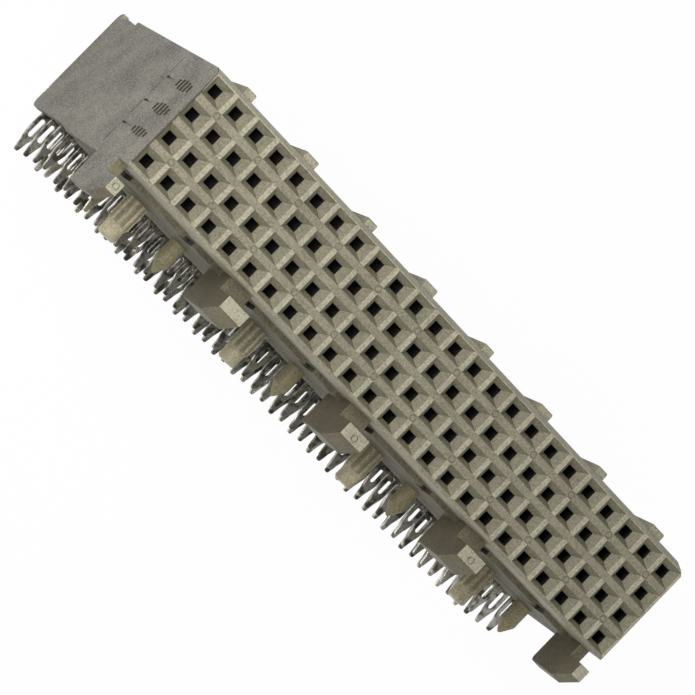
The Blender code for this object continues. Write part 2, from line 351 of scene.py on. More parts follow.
def add_foot(x0, x1):
    """One foot between two places along the length."""
    foot = add_box("foot", x0, x1, FOOT_BOTTOM, LIP + SINK, HOOK_DEPTH, FOOT_BACK)
    edit(foot)
    slice_at(at(0, HOOK_TOP, 0), (0, 1, 0))
    pick_faces(foot, lambda centre, normal: normal.z > FACING and centre.y < HOOK_TOP)
    push(depth=-HOOK_DEPTH)
    slice_at(at(0, TOE_Y, 0.0), (0, -1.0, 0.4), clear=True)
    slice_at(at(0, FOOT_BOTTOM + HEEL, FOOT_BACK), (0, -1.0, -1.0), clear=True)
    dissolve_flat()
    done()
    round_edges(foot, EDGE_ROUND)
    return foot


foot_spans = [(-HALF, -HALF + END_FOOT)]
foot_spans += [(x - FOOT_HALF, x + FOOT_HALF) for x in MODULE_X[1:]]
foot_spans += [(HALF - END_FOOT, HALF)]
feet = join("feet", [add_foot(x0, x1) for x0, x1 in foot_spans])
combine(housing, feet, "UNION")
print("feet:", len(foot_spans))

# %% [markdown]
# ## Posts, pegs and ribs
#
# Each module of six columns has a round post with crush ribs, which grips its hole in the board,
# and a plain peg with a pointed tip, which finds its hole first. On the top, wedge-shaped ribs
# fall away to the rear. All of them are turned or tapered from simple blanks. What is turned is
# given as rings, each with its y and its radius.

# %% Model the posts and pegs
PIN_DEPTH = 9.2
POST_OFFSET = 6.0
PEG_OFFSET = 10.0
ROOT = SEAT + SINK
POST_RINGS = [(ROOT, 0.72), (-6.35, 0.72), (-6.42, 0.70), (-7.32, 0.70), (-7.45, 0.58)]
PEG_RINGS = [(ROOT, 0.63), (-5.95, 0.63), (-6.05, 0.58), (-6.75, 0.16), (-6.85, 0.05)]
CRUSH_RINGS = [(ROOT, 0.17), (-6.2, 0.17), (-6.4, 0.08)]
CRUSH_RIBS = 8
CRUSH_CIRCLE = 0.66


def add_turned(name, x, rings, sides):
    """A body turned about an axis along y, from its rings."""
    deselect()
    root_y, root_radius = rings[0]
    bpy.ops.mesh.primitive_circle_add(vertices=sides, radius=root_radius * MM, fill_type="NGON",
                                      location=at(x, root_y, PIN_DEPTH),
                                      rotation=(math.radians(90), 0, 0))
    piece = bpy.context.object
    piece.name = name
    settle()
    edit(piece)
    for (y_before, before), (y_after, after) in zip(rings, rings[1:]):
        push(y=y_after - y_before)
        share = after / before
        bpy.ops.transform.resize(value=(share, share, share),
                                 center_override=at(x, y_after, PIN_DEPTH))
    face_outwards()
    done()
    return piece


def add_post(x):
    """A round post with its crush ribs."""
    post = add_turned("post", x, POST_RINGS, 32)
    for k in range(CRUSH_RIBS):
        angle = math.radians(360 / CRUSH_RIBS * (k + 0.5))
        rib = add_turned("crush_rib", x + CRUSH_CIRCLE * math.cos(angle), CRUSH_RINGS, 8)
        edit(rib)
        slide(depth=CRUSH_CIRCLE * math.sin(angle))
        done()
        combine(post, rib, "UNION")
    return post


pins = []
for start in MODULE_X:
    pins.append(add_post(start + POST_OFFSET))
    pins.append(add_turned("peg", start + PEG_OFFSET, PEG_RINGS, 28))
print("posts and pegs:", len(pins))
pins = join("pins", pins)
smooth(pins, 25)
combine(housing, pins, "UNION")

# %% Model the top ribs
RIB_TOP = 4.8
RIB_FALL = 0.7
RIB_START = 1.05
RIB_END = 10.3
RIB_PLACES = ((3.0, 0.85), (9.0, 1.15))


def add_rib(x, width):
    """A wedge rib, tallest at its nose."""
    rib = add_box("rib", x - width / 2, x + width / 2, TOP - SINK, RIB_TOP, RIB_START, RIB_END)
    edit(rib)
    crest = RIB_TOP - NEAR
    pick_edges(rib, lambda a, b: min(a.y, b.y) > crest and min(a.z, b.z) > RIB_END - NEAR)
    slide(y=-RIB_FALL)
    pick_edges(rib, lambda a, b: min(a.y, b.y) > crest and max(a.z, b.z) < RIB_START + NEAR)
    bpy.ops.mesh.bevel(offset=0.22 * MM, segments=4, profile=0.5, affect="EDGES")
    done()
    round_edges(rib, 0.09)
    return rib


ribs = [add_rib(start + offset, width) for start in MODULE_X for offset, width in RIB_PLACES]
print("top ribs:", len(ribs))
combine(housing, join("ribs", ribs), "UNION")

# %% [markdown]
# ## Slots in the seat
#
# The seat that rests on the board has two narrow relief slots in each module, where the mould's
# steel reached in. A row of small boxes cuts them.

# %% Cut the relief slots
SLOT_OFFSETS = (1.8, 7.8)
SLOT_HALF = 0.4
SLOT_TOP = -4.1
SLOT_END = 4.4

slots = [add_box("slot", start + offset - SLOT_HALF, start + offset + SLOT_HALF,
                 SEAT - BEYOND, SLOT_TOP, SEAT_START - BEYOND, SLOT_END)
         for start in MODULE_X for offset in SLOT_OFFSETS]
print("relief slots:", len(slots))
combine(housing, join("slots", slots), "DIFFERENCE")

# %% [markdown]
# ## Sockets
#
# Every socket has a square funnel that guides a pin to a square hole, and the hole opens into a
# chamber. One cutter is drawn down from the mouth, narrower and wider as it goes, in steps that
# give its depth, half its width and half its height. The Array modifier repeats it 24 by 4 times.
# The first short step of the funnel is steep, which leaves a fine rounded rim around each mouth.

# %% Model one socket and repeat it
SOCKET_STEPS = [(-0.05, 0.89, 0.79), (0.05, 0.81, 0.72), (0.62, 0.37, 0.37), (1.0, 0.37, 0.37),
                (1.3, 0.50, 0.50), (BAY_START + SINK, 0.50, 0.50)]

mouth_depth, mouth_wide, mouth_high = SOCKET_STEPS[0]
deselect()
bpy.ops.mesh.primitive_plane_add(size=1.0, location=at(COLUMN_X[0], ROW_Y[0], mouth_depth))
sockets = bpy.context.object
sockets.name = "sockets"
sockets.scale = (2 * mouth_wide * MM, 2 * mouth_high * MM, 1.0)
settle()
edit(sockets)
for (depth0, wide0, high0), (depth1, wide1, high1) in zip(SOCKET_STEPS, SOCKET_STEPS[1:]):
    push(depth=depth1 - depth0)
    bpy.ops.transform.resize(value=(wide1 / wide0, high1 / high0, 1.0),
                             center_override=at(COLUMN_X[0], ROW_Y[0], depth1))
face_outwards()
done()
for count, step in ((COLUMNS, (PITCH * MM, 0, 0)), (ROWS, (0, PITCH * MM, 0))):
    apply_modifier(sockets, "ARRAY", count=count, use_relative_offset=False,
                   use_constant_offset=True, constant_offset_displace=step)
print("socket cutter:", len(sockets.data.polygons), "faces")

# %% [markdown]
# The walls between the rows stand a hair lower than the walls between the columns, which three
# shallow troughs do, and the trough floors take a darker, rougher version of the plastic, so the
# column walls show as short bright bars. Small ring marks, left by the mould's pins, lie where two
# of the troughs cross every second column wall, and three more lie on the fronts of the hooks.

# %% Cut the troughs and the sockets
TROUGH_Y = (-2.0, 0.0, 2.0)
TROUGH_END = 23.86
TROUGH_HALF = 0.27
TROUGH_DEPTH = 0.06

troughs = [add_box("trough", -TROUGH_END, TROUGH_END, y - TROUGH_HALF, y + TROUGH_HALF,
                   -SINK, TROUGH_DEPTH) for y in TROUGH_Y]
combine(housing, join("troughs", troughs), "DIFFERENCE")
combine(housing, sockets, "DIFFERENCE")
print("housing with its sockets:", len(housing.data.polygons), "faces")

# %% Cut the ring marks
ring_places = [(x + PITCH / 2, y, TROUGH_DEPTH)
               for y in (TROUGH_Y[0], TROUGH_Y[-1]) for x in COLUMN_X[::2]]
ring_places += [(-23.55, -5.5, 0.0), (0.0, -5.62, 0.0), (12.0, -5.62, 0.0)]
rings = []
for place in ring_places:
    deselect()
    bpy.ops.mesh.primitive_torus_add(location=at(*place), major_segments=16, minor_segments=6,
                                     major_radius=0.22 * MM, minor_radius=0.055 * MM)
    rings.append(bpy.context.object)
print("ring marks:", len(rings))
rings = join("rings", rings)
take(rings)
settle()
combine(housing, rings, "DIFFERENCE")

# %% [markdown]
# ## Marks on the end plate
#
# The end plate that faces the camera carries three oval dimples with small ribs across them, and
# fine scribed lines. The dimples are cut as rows of narrow boxes up to a quarter of a millimetre
# deep, whose heights follow an oval, so the plate itself stays standing between them as the ribs.
# Each oval is given by its y, half its height and the depth of its cut.
#
# A slit and a short tick run from each dimple to the scribed line, which is broken there. Two
# nicks cut the rear edge of the plate. A last slice along the foot of the mating face lets that
# narrow band have a finish of its own.

# %% Cut the marks on the end plate
OVALS = ((2.05, 0.42, 0.24), (0.05, 0.42, 0.24), (-1.9, 0.32, 0.16))
OVAL_DEPTH = 2.5
OVAL_REACH = 1.35
OVAL_STEP = 0.52
OVAL_CUT = 0.17
LINE_SPANS = ((2.34, 3.74), (0.6, 1.5), (-1.13, 0.0), (-3.65, -2.54))
NICK_SPANS = ((-2.72, -2.55), (-3.0, -2.86))
BAND_Y = -3.765


def add_mark(y0, y1, depth0, depth1, deep):
    """A box that cuts so deep into the end plate."""
    return add_box("mark", -HALF - SINK, -HALF + deep, y0, y1, depth0, depth1)


marks = []
for y, tall, deep in OVALS:
    for k in range(-2, 3):
        along = OVAL_STEP * k
        middle = OVAL_DEPTH + along
        half = tall * math.sqrt(1 - (along / OVAL_REACH) ** 2)
        marks.append(add_mark(y - half, y + half, middle - OVAL_CUT, middle + OVAL_CUT, deep))
    marks.append(add_mark(y - 0.035, y + 0.035, 4.1, 5.0, 0.05))
    marks.append(add_mark(y - 0.08, y + 0.08, 5.05, 5.7, 0.1))
marks += [add_mark(low, high, 5.75, 5.84, 0.06) for low, high in LINE_SPANS]
marks += [add_mark(low, high, DEPTH - 0.15, DEPTH + SINK, 0.3) for low, high in NICK_SPANS]
print("marks:", len(marks))
combine(housing, join("marks", marks), "DIFFERENCE")
edit(housing)
slice_at(at(0, BAND_Y, 0), (0, 1, 0))
done()
smooth(housing, 20)
print("housing:", len(housing.data.polygons), "faces")

# %% [markdown]
# ## Contacts
#
# A contact is stamped from thin strip. Its tail has the eye of a needle, which squeezes into a
# plated hole in the board. The eye is a ring between two long rounded loops, each a circle of one
# radius whose halves are drawn apart. The strip then goes up, is folded forward by a spin, runs to
# the sockets and splits into two spring arms. Solidify gives the strip its thickness at the end,
# so all of the drawing is done on a flat sheet.

# %% Helpers for the flat sheet
EYE_Y = -5.1
EYE_LOOPS = ((0.43, 0.42), (0.19, 0.54))
SLIT_HALF = 0.09


def outside(place, x):
    """Whether a point of the eye lies on its outer loop."""
    radius, reach = EYE_LOOPS[1]
    middle = Vector((x, max(EYE_Y - reach, min(EYE_Y + reach, place.y)), place.z))
    return (place - middle).length > radius + 0.04


def flatten_edges(piece, x, y, width):
    """Level the selected edges at one height and give them one half width."""
    bm = bmesh.from_edit_mesh(piece.data)
    chosen = [vertex for vertex in bm.verts if vertex.select]
    widest = max(abs(on_part(vertex.co).x - x) for vertex in chosen)
    for vertex in chosen:
        place = on_part(vertex.co)
        vertex.co = at(x + (place.x - x) * width / widest, y, place.z)
    bmesh.update_edit_mesh(piece.data)


def pinch_edges(piece, x, side):
    """Leave a slit between this arm and its neighbour."""
    bm = bmesh.from_edit_mesh(piece.data)
    for vertex in bm.verts:
        if vertex.select and abs(on_part(vertex.co).x - x) < NEAR:
            place = on_part(vertex.co)
            vertex.co = at(x + side * SLIT_HALF, place.y, place.z)
    bmesh.update_edit_mesh(piece.data)


# %% Helper for the eye
SLIGHT = 0.01


def add_eye(x, depth):
    """The ring of the eye between its outer and its inner loop, left open in edit mode."""
    loops = []
    for radius, reach in EYE_LOOPS:
        deselect()
        bpy.ops.mesh.primitive_circle_add(vertices=16, radius=radius * MM, fill_type="NOTHING",
                                          location=at(x, EYE_Y, depth))
        loop = bpy.context.object
        settle()
        edit(loop)
        for sign in (-1, 1):
            pick_edges(loop, lambda a, b: sign * (a.y + b.y - 2 * EYE_Y) > SLIGHT)
            slide(y=sign * reach)
        done()
        loops.append(loop)
    contact = join("contact", loops)
    edit(contact)
    bpy.ops.mesh.bridge_edge_loops()
    return contact


# %% [markdown]
# The tail is drawn from the eye, first down to its tip and then up to its shoulder and its neck.
# Each step gives a height and half the width of the strip there.

# %% Helper for one contact
STRIP = 0.25
BEND = 0.35
TAIL_START = (-6.05, 0.31)
TAIL_STEPS = ((-6.3, 0.24), (-6.65, 0.19), (-6.98, 0.13), (-7.05, 0.06))
SHOULDER = (-3.95, 0.43)
NECK = (-3.75, 0.25)
ARM_ROOT = 7.8
ARM_LENGTH = 4.6
ARM_TIP = 1.0


def add_contact(row):
    """The contact of one row in the first column."""
    x = COLUMN_X[0]
    y = ROW_Y[row]
    depth = TAIL_DEPTHS[row]
    contact = add_eye(x, depth)
    pick_edges(contact, lambda a, b: max(a.y, b.y) < EYE_Y - 0.7
               and outside(a, x) and outside(b, x))
    flatten_edges(contact, x, *TAIL_START)
    for height, width in TAIL_STEPS:
        push(y=-0.1)
        flatten_edges(contact, x, height, width)
    pick_edges(contact, lambda a, b: min(a.y, b.y) > EYE_Y + 0.5
               and outside(a, x) and outside(b, x))
    flatten_edges(contact, x, *SHOULDER)
    push(y=0.1)
    flatten_edges(contact, x, *NECK)
    push(y=y - BEND - NECK[0])
    bpy.ops.mesh.spin(steps=4, angle=math.radians(90), center=at(x, y - BEND, depth - BEND),
                      axis=(1, 0, 0))
    push(depth=ARM_ROOT - (depth - BEND))
    for side in (-1, 1):
        pick_edges(contact, lambda a, b: max(a.z, b.z) < ARM_ROOT + NEAR
                   and side * (a.x + b.x - 2 * x) > SLIGHT and abs(a.y - b.y) < SLIGHT)
        push(depth=-ARM_LENGTH)
        pinch_edges(contact, x, side)
        push(depth=-ARM_TIP)
    bpy.ops.mesh.select_all(action="SELECT")
    bpy.ops.mesh.remove_doubles(threshold=0.001 * MM)
    face_outwards()
    done()
    apply_modifier(contact, "SOLIDIFY", thickness=STRIP * MM, offset=0.0, use_even_offset=True)
    round_edges(contact, 0.03, segments=1, angle=50.0)
    return contact


# %% [markdown]
# The four rows differ only in how high their strip runs and how far back it turns down. Each row
# is modelled once in the first column and copied along the part, and every copy keeps a mesh of
# its own.


# %% Copy the contacts along the part
def copy_along(first, letter):
    """Copy one contact to all the columns, each with its own mesh."""
    first.name = f"metal_contact_{letter}01"
    copies = [first]
    for column in range(1, COLUMNS):
        take(first)
        bpy.ops.object.duplicate()
        copy = bpy.context.object
        copy.name = f"metal_contact_{letter}{column + 1:02d}"
        bpy.ops.transform.translate(value=(PITCH * MM * column, 0, 0))
        settle()
        copies.append(copy)
    return copies


contacts = {letter: copy_along(add_contact(row), letter) for row, letter in enumerate("abcd")}
print("contacts:", sum(len(copies) for copies in contacts.values()))

# %% [markdown]
# ## The tail organiser
#
# A second moulding closes the board side of the bay like a comb: the strips of the two rear rows
# pass between its teeth, and the two front rows are set in its solid edge. Ridges across its face
# stiffen it, and the front one stands lowest and closes the gap behind the seat.

# %% Model the organiser
COMB_END = 23.3
RIDGE_END = 23.2
RIDGES = ((-4.2, 13.1, 13.5), (-4.2, 15.1, 15.5), (-4.38, 10.36, 11.85))
GAP_HALF = 0.5
GAPS = ((15.9, 20.5), (12.1, 12.5), (14.1, 14.5))

organiser = add_box("organiser_comb", -COMB_END, COMB_END, -4.15, -3.35, 10.35, 19.15)
round_edges(organiser, 0.08)
ridges = [add_box("ridge", -RIDGE_END, RIDGE_END, bottom, -3.6, front, back)
          for bottom, front, back in RIDGES]
for ridge in ridges:
    round_edges(ridge, 0.04)
combine(organiser, join("ridges", ridges), "UNION")
gaps = [add_box("gap", x - GAP_HALF, x + GAP_HALF, -5.5, -2.5, front, back)
        for x in COLUMN_X for front, back in GAPS]
combine(organiser, join("gaps", gaps), "DIFFERENCE")
print("organiser:", len(organiser.data.polygons), "faces")

# %% [markdown]
# ## Finishes as node groups
#
# Three effects are shared. Moulded grain is the fine speckle and the slow mottling of filled
# plastic, with the spark-eroded bump of the mould and, where asked, a slow waviness. Grime
# darkens a surface in soft patches. Stamped metal has drawn lines along the strip and dull spots
# in its plating. Each is built once as a group with named sockets, and the materials set their
# own values. What feeds a node is written as a pair: the node that it comes from and its output.


# %% Helpers for node groups
def new_group(name, inputs, outputs):
    """A shader node group with named inputs and outputs."""
    group = bpy.data.node_groups.new(name, "ShaderNodeTree")
    for socket, kind, value in inputs:
        made = group.interface.new_socket(name=socket, in_out="INPUT", socket_type=kind)
        made.default_value = value
    for socket, kind in outputs:
        group.interface.new_socket(name=socket, in_out="OUTPUT", socket_type=kind)
    start = group.nodes.new("NodeGroupInput")
    end = group.nodes.new("NodeGroupOutput")
    start.location = (-1000, 0)
    end.location = (900, 0)
    return group, start, end


def wire(tree, source, output, target, entry):
    """Link one node's output to another's input."""
    tree.links.new(source.outputs[output], target.inputs[entry])


def set_inputs(node, values):
    """Set a node's input sockets by their names."""
    for name, value in values.items():
        node.inputs[name].default_value = value


def add_node(tree, kind, place):
    """A node at a place in the tree."""
    node = tree.nodes.new(kind)
    node.location = place
    return node


def add_math(tree, place, operation, first, second):
    """A Math node of a pair and a second operand, which is a pair or a number."""
    node = add_node(tree, "ShaderNodeMath", place)
    node.operation = operation
    wire(tree, *first, node, 0)
    if isinstance(second, tuple):
        wire(tree, *second, node, 1)
    else:
        node.inputs[1].default_value = second
    return node


def add_mix(tree, place, factor, first, second):
    """A colour mix of three pairs. Its sockets are Factor 0, A 6, B 7, and its output is 2."""
    node = add_node(tree, "ShaderNodeMix", place)
    node.data_type = "RGBA"
    for entry, pair in ((0, factor), (6, first), (7, second)):
        wire(tree, *pair, node, entry)
    return node


# %% Helpers for noise
def add_noise(tree, place, scale, detail, roughness):
    """Noise on the object's own coordinates, turned so that no face lies along its cells."""
    coordinates = add_node(tree, "ShaderNodeTexCoord", (place[0] - 400, place[1]))
    turned = add_node(tree, "ShaderNodeMapping", (place[0] - 200, place[1]))
    noise = add_node(tree, "ShaderNodeTexNoise", place)
    set_inputs(turned, {"Rotation": (0.5, 0.7, 0.3)})
    set_inputs(noise, {"Detail": detail, "Roughness": roughness})
    wire(tree, coordinates, "Object", turned, "Vector")
    wire(tree, turned, "Vector", noise, "Vector")
    wire(tree, *scale, noise, "Scale")
    return noise


def add_range(tree, place, noise, low, high, to_low, to_high):
    """A Map Range node with fixed ends that spreads a noise."""
    node = add_node(tree, "ShaderNodeMapRange", place)
    set_inputs(node, {"From Min": low, "From Max": high, "To Min": to_low, "To Max": to_high})
    wire(tree, noise, "Fac", node, "Value")
    return node


def add_bump(tree, place, noise, distance):
    """A Bump node that reads a noise as its height, with a distance in metres."""
    node = add_node(tree, "ShaderNodeBump", place)
    set_inputs(node, {"Distance": distance})
    wire(tree, noise, "Fac", node, "Height")
    return node


SURFACE = [("Colour", "NodeSocketColor"), ("Roughness", "NodeSocketFloat"),
           ("Normal", "NodeSocketVector")]

# %% The moulded grain group
grain, grain_in, grain_out = new_group(
    "moulded grain",
    [("Colour", "NodeSocketColor", (0.4, 0.37, 0.28, 1.0)),
     ("Speckle scale", "NodeSocketFloat", 7000.0),
     ("Speckle", "NodeSocketFloat", 0.32),
     ("Mottle scale", "NodeSocketFloat", 420.0),
     ("Mottle", "NodeSocketFloat", 0.14),
     ("Roughness", "NodeSocketFloat", 0.55),
     ("Waviness", "NodeSocketFloat", 0.0),
     ("Bump", "NodeSocketFloat", 0.25)],
    SURFACE)
speckle = add_noise(grain, (-600, 250), (grain_in, "Speckle scale"), 3.0, 0.6)
mottle = add_noise(grain, (-600, -50), (grain_in, "Mottle scale"), 4.0, 0.55)
spread = add_range(grain, (-400, 250), speckle, 0.3, 0.7, -1.0, 1.0)
drift = add_range(grain, (-400, -50), mottle, 0.3, 0.7, -1.0, 1.0)
fine = add_math(grain, (-200, 250), "MULTIPLY", (spread, "Result"), (grain_in, "Speckle"))
slow = add_math(grain, (-200, -50), "MULTIPLY", (drift, "Result"), (grain_in, "Mottle"))
both = add_math(grain, (0, 150), "ADD", (fine, "Value"), (slow, "Value"))
level = add_math(grain, (150, 150), "ADD", (both, "Value"), 1.0)
shade = add_node(grain, "ShaderNodeVectorMath", (350, 250))
shade.operation = "SCALE"
wire(grain, grain_in, "Colour", shade, 0)
wire(grain, level, "Value", shade, "Scale")
wire(grain, shade, "Vector", grain_out, "Colour")
uneven = add_math(grain, (350, 50), "MULTIPLY", (both, "Value"), 0.2)
rough = add_math(grain, (520, 50), "ADD", (uneven, "Value"), (grain_in, "Roughness"))
wire(grain, rough, "Value", grain_out, "Roughness")
waves = add_bump(grain, (350, -200), mottle, 0.001)
wire(grain, grain_in, "Waviness", waves, "Strength")
bump = add_bump(grain, (520, -200), speckle, 0.00003)
wire(grain, waves, "Normal", bump, "Normal")
wire(grain, grain_in, "Bump", bump, "Strength")
wire(grain, bump, "Normal", grain_out, "Normal")
print("group:", grain.name, [item.name for item in grain.interface.items_tree])

# %% The grime group
grime, grime_in, grime_out = new_group(
    "grime",
    [("Colour", "NodeSocketColor", (0.4, 0.37, 0.28, 1.0)),
     ("Dirt", "NodeSocketColor", (0.10, 0.09, 0.06, 1.0)),
     ("Patch scale", "NodeSocketFloat", 700.0),
     ("Amount", "NodeSocketFloat", 0.3)],
    [("Colour", "NodeSocketColor")])
patches = add_noise(grime, (-600, 0), (grime_in, "Patch scale"), 6.0, 0.65)
worn = add_range(grime, (-400, 0), patches, 0.48, 0.78, 0.0, 1.0)
cover = add_math(grime, (-200, 0), "MULTIPLY", (worn, "Result"), (grime_in, "Amount"))
soiled = add_mix(grime, (100, 0), (cover, "Value"), (grime_in, "Colour"), (grime_in, "Dirt"))
wire(grime, soiled, 2, grime_out, "Colour")
print("group:", grime.name, [item.name for item in grime.interface.items_tree])

# %% The stamped metal group
metal, metal_in, metal_out = new_group(
    "stamped metal",
    [("Colour", "NodeSocketColor", (0.35, 0.35, 0.34, 1.0)),
     ("Tarnish", "NodeSocketColor", (0.09, 0.085, 0.065, 1.0)),
     ("Spot scale", "NodeSocketFloat", 1100.0),
     ("Line scale", "NodeSocketFloat", 6000.0),
     ("Roughness", "NodeSocketFloat", 0.38)],
    SURFACE)
spots = add_noise(metal, (-600, 200), (metal_in, "Spot scale"), 3.0, 0.5)
dull = add_range(metal, (-400, 200), spots, 0.38, 0.6, 0.0, 1.0)
tone = add_mix(metal, (-100, 250), (dull, "Result"), (metal_in, "Colour"), (metal_in, "Tarnish"))
wire(metal, tone, 2, metal_out, "Colour")
blur = add_math(metal, (-100, 0), "MULTIPLY", (dull, "Result"), 0.25)
sheen = add_math(metal, (100, 0), "ADD", (blur, "Value"), (metal_in, "Roughness"))
wire(metal, sheen, "Value", metal_out, "Roughness")
strip_place = add_node(metal, "ShaderNodeTexCoord", (-1000, -300))
stretch = add_node(metal, "ShaderNodeMapping", (-800, -300))
drawn = add_node(metal, "ShaderNodeTexNoise", (-600, -300))
set_inputs(stretch, {"Scale": (1.0, 0.08, 0.08)})
wire(metal, strip_place, "Object", stretch, "Vector")
wire(metal, stretch, "Vector", drawn, "Vector")
wire(metal, metal_in, "Line scale", drawn, "Scale")
ripple = add_bump(metal, (200, -300), drawn, 0.00002)
set_inputs(ripple, {"Strength": 0.14})
wire(metal, ripple, "Normal", metal_out, "Normal")
print("group:", metal.name, [item.name for item in metal.interface.items_tree])

# %% [markdown]
# ## Materials
#
# The housing is a warm grey-beige filled plastic. Its faces share thirteen versions of the
# plastic, which differ in their colour, their roughness and how much grain and grime they show.
# Several are painted shade: the funnels, the chambers behind them, the dimples, slots and end
# notches, the cores of the posts between their crush ribs, the seat and steps under the lip and
# the feet are painted darker, and the end plate that faces the camera is painted darker and
# greyer, as shade, with a coarse eroded grain. The row walls are rougher and darker, and thin
# posts and pegs look yellower. The comb is given a much darker colour, and the contacts are
# tin-plated strip.


# %% Helpers for materials
def new_material(name):
    """A material with its Principled shader."""
    made = bpy.data.materials.new(name)
    made.use_nodes = True
    return made, made.node_tree, made.node_tree.nodes["Principled BSDF"]


def add_group(tree, place, group, values):
    """A node group at a place in a material, with its own values."""
    node = add_node(tree, "ShaderNodeGroup", place)
    node.node_tree = group
    set_inputs(node, values)
    return node


def wire_surface(tree, body, shader):
    """Let a group's colour, roughness and normal feed the shader."""
    wire(tree, body, "Colour", shader, "Base Color")
    wire(tree, body, "Roughness", shader, "Roughness")
    wire(tree, body, "Normal", shader, "Normal")


def plastic(name, colour, roughness, mottle, dirt, gloss=0.35, bump=0.25, speckle=0.32, waves=0.0):
    """Filled plastic with moulded grain and a little grime."""
    made, tree, shader = new_material(name)
    soil = add_group(tree, (-600, 200), grime, {"Colour": (*colour, 1.0), "Amount": dirt})
    body = add_group(tree, (-300, 200), grain, {
        "Roughness": roughness, "Mottle": mottle, "Speckle": speckle, "Waviness": waves,
        "Bump": bump})
    wire(tree, soil, "Colour", body, "Colour")
    wire_surface(tree, body, shader)
    set_inputs(shader, {"Specular IOR Level": gloss})
    return made


def strip_metal(name, colour, roughness):
    """Plated strip with tarnish and drawn lines."""
    made, tree, shader = new_material(name)
    body = add_group(tree, (-300, 200), metal, {"Colour": (*colour, 1.0), "Roughness": roughness})
    wire_surface(tree, body, shader)
    set_inputs(shader, {"Metallic": 1.0})
    return made


# %% Build the materials
finishes = [
    plastic("moulding", (0.395, 0.367, 0.268), roughness=0.5, mottle=0.08, dirt=0.10),
    # Painted shade: the funnels are darker than the plain plastic.
    plastic("funnel_painted_shade", (0.225, 0.207, 0.144), roughness=0.62, mottle=0.08, dirt=0.15),
    plastic("post_moulding", (0.48, 0.43, 0.28), roughness=0.42, mottle=0.2, dirt=0.5),
    # Painted shade: the core of a post between its crush ribs is darker.
    plastic("post_core_painted_shade", (0.30, 0.265, 0.17), roughness=0.45, mottle=0.2, dirt=0.5),
    plastic("peg_moulding", (0.252, 0.224, 0.128), roughness=0.5, mottle=0.16, dirt=0.3),
    # Painted shade: the foot sides facing -X and the notch at the ends are near black.
    plastic("deep_painted_shade", (0.1, 0.087, 0.057), roughness=0.45, mottle=0.2, dirt=0.3,
            gloss=0.3, bump=0.3),
    # Painted shade: the other faces of the feet, the toe slopes most of all, are darker.
    plastic("foot_painted_shade", (0.19, 0.17, 0.112), roughness=0.5, mottle=0.18, dirt=0.35,
            gloss=0.15, bump=0.3),
    plastic("wall_moulding", (0.262, 0.24, 0.171), roughness=0.6, mottle=0.10, dirt=0.15),
    # Painted shade: the -X end plate is darker and greyer than the plastic, with a coarse grain.
    plastic("end_plate_painted_shade", (0.196, 0.184, 0.155), roughness=0.5, mottle=0.3, dirt=0.25,
            gloss=0.2, bump=0.6, speckle=0.6),
    # Painted shade: the chambers behind the throats are near black.
    plastic("chamber_painted_shade", (0.012, 0.009, 0.007), roughness=0.85, mottle=0.05, dirt=0.1),
    plastic("lip_moulding", (0.38, 0.345, 0.25), roughness=0.5, mottle=0.12, dirt=0.2,
            bump=0.2, waves=0.4),
    # Painted shade: the seat under the lip, the step and the foot fronts above the hooks are
    # darker.
    plastic("seat_painted_shade", (0.145, 0.131, 0.087), roughness=0.5, mottle=0.2, dirt=0.2,
            gloss=0.12, bump=0.4, waves=1.0),
    # Painted shade: the walls of the end plate's dimples and of the relief slots are near black.
    plastic("recess_painted_shade", (0.075, 0.068, 0.048), roughness=0.6, mottle=0.1, dirt=0.3)]
(PLAIN, FUNNEL_SHADE, POST, CORE_SHADE, PEG, DEEP_SHADE, FOOT_SHADE, WALL, PLATE_SHADE, CHAMBER_SHADE, LIP_FACE, SEAT_SHADE,
 RECESS_SHADE) = range(len(finishes))
comb_finishes = [
    plastic("comb_moulding", (0.055, 0.05, 0.04), roughness=0.6, mottle=0.1, dirt=0.2),
    plastic("comb_edge_moulding", (0.15, 0.134, 0.09), roughness=0.5, mottle=0.1, dirt=0.2)]
tin = strip_metal("tin_plating", (0.78, 0.76, 0.68), roughness=0.21)
for finish in finishes:
    housing.data.materials.append(finish)
for finish in comb_finishes:
    organiser.data.materials.append(finish)
for copies in contacts.values():
    for contact in copies:
        contact.data.materials.append(tin)
print("materials:", [finish.name for finish in finishes + comb_finishes + [tin]])

# %% [markdown]
# Each face of the housing then takes the version that belongs to its place. The tests are made
# in order, and the first one that holds decides.

# %% Give each face its version
FUNNEL_END = 0.65
PLATE_X = 23.95
LEANING = 0.7


def pin_finish(x, y, depth):
    """Which version a face of a post or a peg shows; the core between crush ribs is painted shade.
    """
    along = (x + HALF) % MODULE
    if along > (POST_OFFSET + PEG_OFFSET) / 2:
        return PEG
    between_ribs = math.hypot(along - POST_OFFSET, depth - PIN_DEPTH) < 0.74
    return CORE_SHADE if between_ribs and y > -6.3 else POST


